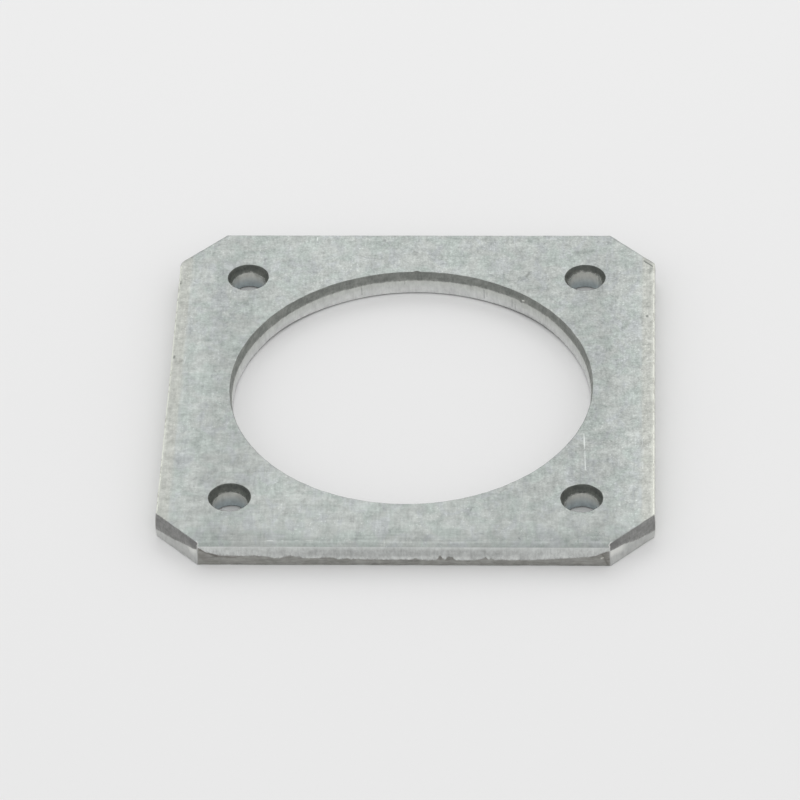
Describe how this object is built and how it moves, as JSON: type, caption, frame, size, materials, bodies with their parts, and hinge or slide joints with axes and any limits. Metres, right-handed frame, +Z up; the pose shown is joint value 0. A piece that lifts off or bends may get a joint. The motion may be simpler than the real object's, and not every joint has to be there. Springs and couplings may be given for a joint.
{
  "type": "support washer",
  "caption": "Flat square support washer cut from galvanised steel strip, with clipped corners, a large centre hole and a small fixing hole near each corner.",
  "frame": {"origin": "centre of the large hole at the bottom face", "axes": "+Z up out of the flat face that shows the torn, wider side of the holes; X runs across the strip between its rounded mill edges, Y along it between the two cut-off ends, and -Y is the end whose rounded lip is at the top"},
  "size_m": [0.075, 0.0746, 0.0041],
  "materials": {
    "galvanised_steel": "dull zinc-galvanised steel, bare at the sheared edges"
  },
  "bodies": {
    "root": {"washer_plate": "galvanised_steel"}
  },
  "joints": []
}
